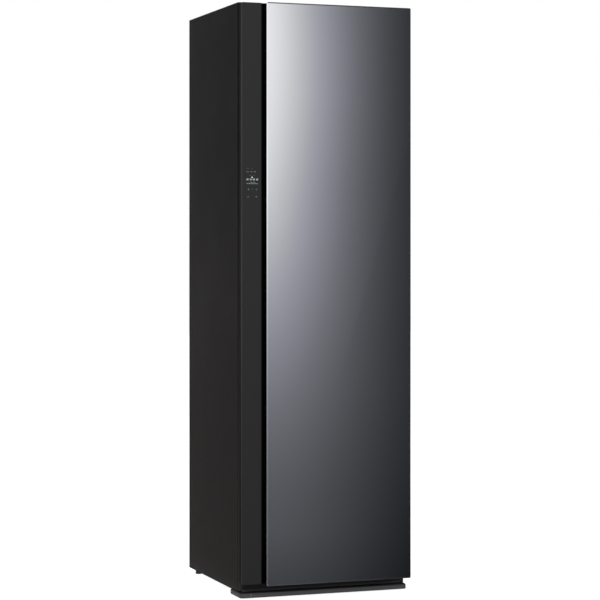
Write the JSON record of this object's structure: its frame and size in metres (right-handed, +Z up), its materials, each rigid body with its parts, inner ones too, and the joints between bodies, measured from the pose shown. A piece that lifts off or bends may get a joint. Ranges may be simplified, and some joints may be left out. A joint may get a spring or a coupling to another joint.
{
  "type": "clothes care steam cabinet",
  "caption": "Tall free-standing steam cabinet for clothes: mirrored door with a finger groove, moving hanger rail, trouser press, slatted shelf, water tanks and lint filter.",
  "frame": {"origin": "on the floor, under the middle of the closed cabinet's outline", "axes": "+Z up, -Y towards the front where the mirrored door is, +X to the right as seen from the front"},
  "size_m": [0.59, 0.62, 1.96],
  "materials": {
    "casing_steel": "fine satin paint",
    "zinc_steel": "galvanised sheet",
    "gland_plastic": "moulded",
    "foot_plastic": "moulded",
    "plinth_plastic": "fine textured",
    "frame_plastic": "fine textured",
    "liner_plastic": "vacuum formed sheet",
    "foam": "cut foam",
    "grille_plastic": "moulded",
    "lamp_cover": "frosted",
    "shelf_paint": "powder coated",
    "bay_plastic": "moulded",
    "tank_plastic": "translucent moulding",
    "lid_plastic": "moulded",
    "machine_plastic": "moulded",
    "motor_steel": "plated can",
    "compressor_paint": "black gloss",
    "fin_aluminium": "bare fins",
    "boiler_cast": "as cast",
    "copper": "drawn tube",
    "board_resin": "circuit board",
    "rail_metal": "satin anodised",
    "wheel_plastic": "moulded",
    "belt_rubber": "matt",
    "door_plastic": "fine textured",
    "bush_plastic": "moulded",
    "carrier_plastic": "moulded",
    "mirror_tint": "tinted mirror, polished",
    "column_paint": "satin paint",
    "display_dark": "smoked",
    "groove_black": "matt black",
    "gasket_rubber": "soft",
    "press_plastic": "moulded"
  },
  "bodies": {
    "cabinet": {"left_side_panel": "casing_steel", "right_side_panel": "casing_steel", "top_panel": "casing_steel", "lower_front_cover": "casing_steel", "back_panel": "zinc_steel", "rear_service_cover": "zinc_steel", "base_chassis": "zinc_steel", "hinge_brackets": "zinc_steel", "drive_mount": "zinc_steel", "cord_gland": "gland_plastic", "rear_feet": "foot_plastic", "plinth": "plinth_plastic", "front_frame": "frame_plastic", "liner_side_walls": "liner_plastic", "liner_back_wall": "liner_plastic", "chamber_ceiling": "liner_plastic", "chamber_floor": "liner_plastic", "wall_insulation": "foam", "outlet_grille": "grille_plastic", "steam_nozzle": "grille_plastic", "chamber_lamp": "lamp_cover", "tank_bay": "bay_plastic", "filter_housing": "bay_plastic", "fan_housing": "machine_plastic", "exchanger_tray": "machine_plastic", "fan_motor": "motor_steel", "drive_motor": "motor_steel", "water_pump": "motor_steel", "rack_guides": "motor_steel", "compressor": "compressor_paint", "heat_exchangers": "fin_aluminium", "steam_generator": "boiler_cast", "pipework": "copper", "main_board": "board_resin", "drive_belt": "belt_rubber"},
    "door": {"door_frame": "door_plastic", "hinge_bushes": "bush_plastic", "glass_carrier": "carrier_plastic", "mirror_glass": "mirror_tint", "control_column": "column_paint", "display_module": "display_dark", "grip_channel": "groove_black", "door_liner": "liner_plastic", "door_gasket": "gasket_rubber", "press_hinge": "press_plastic"},
    "press": {"press_board": "press_plastic"},
    "rack": {"hanger_rack": "rail_metal", "rack_yoke": "rail_metal"},
    "crank": {"crank_wheel": "wheel_plastic"},
    "motor_shaft": {"motor_wheel": "wheel_plastic"},
    "fan": {"impeller": "machine_plastic"},
    "filter": {"lint_filter": "grille_plastic"},
    "supply": {"supply_tank": "tank_plastic", "supply_tank_lid": "lid_plastic"},
    "drain": {"drain_tank": "tank_plastic", "drain_tank_lid": "lid_plastic"},
    "slat_shelf": {"shelf": "shelf_paint"},
    "left_leveller": {"left_foot": "foot_plastic"},
    "right_leveller": {"right_foot": "foot_plastic"}
  },
  "joints": [
    {"name": "door_hinge", "type": "hinge", "parent": "cabinet", "child": "door", "pos_m": [0.281, -0.275, 1], "axis": [0, 0, 1], "range_deg": [0, 115]},
    {"name": "press_swing", "type": "hinge", "parent": "door", "child": "press", "pos_m": [0.17, -0.244, 1.075], "axis": [0, 0, -1], "range_deg": [0, 90]},
    {"name": "rack_slide", "type": "slide", "parent": "cabinet", "child": "rack", "axis": [1, 0, 0], "range_m": [-0.02, 0.02]},
    {"name": "crank_turn", "type": "hinge", "parent": "cabinet", "child": "crank", "pos_m": [0, 0, 1.865], "axis": [0, 0, 1], "continuous": true},
    {"name": "motor_turn", "type": "hinge", "parent": "cabinet", "child": "motor_shaft", "pos_m": [0.15, 0, 1.865], "axis": [0, 0, 1], "continuous": true},
    {"name": "fan_turn", "type": "hinge", "parent": "cabinet", "child": "fan", "pos_m": [0, 0.19, 0.255], "axis": [0, 1, 0], "continuous": true},
    {"name": "filter_lift", "type": "slide", "parent": "cabinet", "child": "filter", "axis": [0, 0, 1], "range_m": [0, 0.15]},
    {"name": "supply_pull", "type": "slide", "parent": "cabinet", "child": "supply", "axis": [0, -1, 0], "range_m": [0, 0.045]},
    {"name": "drain_pull", "type": "slide", "parent": "cabinet", "child": "drain", "axis": [0, -1, 0], "range_m": [0, 0.045]},
    {"name": "shelf_lift", "type": "slide", "parent": "cabinet", "child": "slat_shelf", "axis": [0, 0, 1], "range_m": [0, 0.1]},
    {"name": "left_foot_turn", "type": "hinge", "parent": "cabinet", "child": "left_leveller", "pos_m": [-0.25, -0.178, 0], "axis": [0, 0, 1], "range_deg": [-1080, 1080]},
    {"name": "right_foot_turn", "type": "hinge", "parent": "cabinet", "child": "right_leveller", "pos_m": [0.25, -0.178, 0], "axis": [0, 0, 1], "range_deg": [-1080, 1080]}
  ],
  "couplings": [
    {"joint": "motor_turn", "follows": "crank_turn", "ratio": 2.6256}
  ]
}
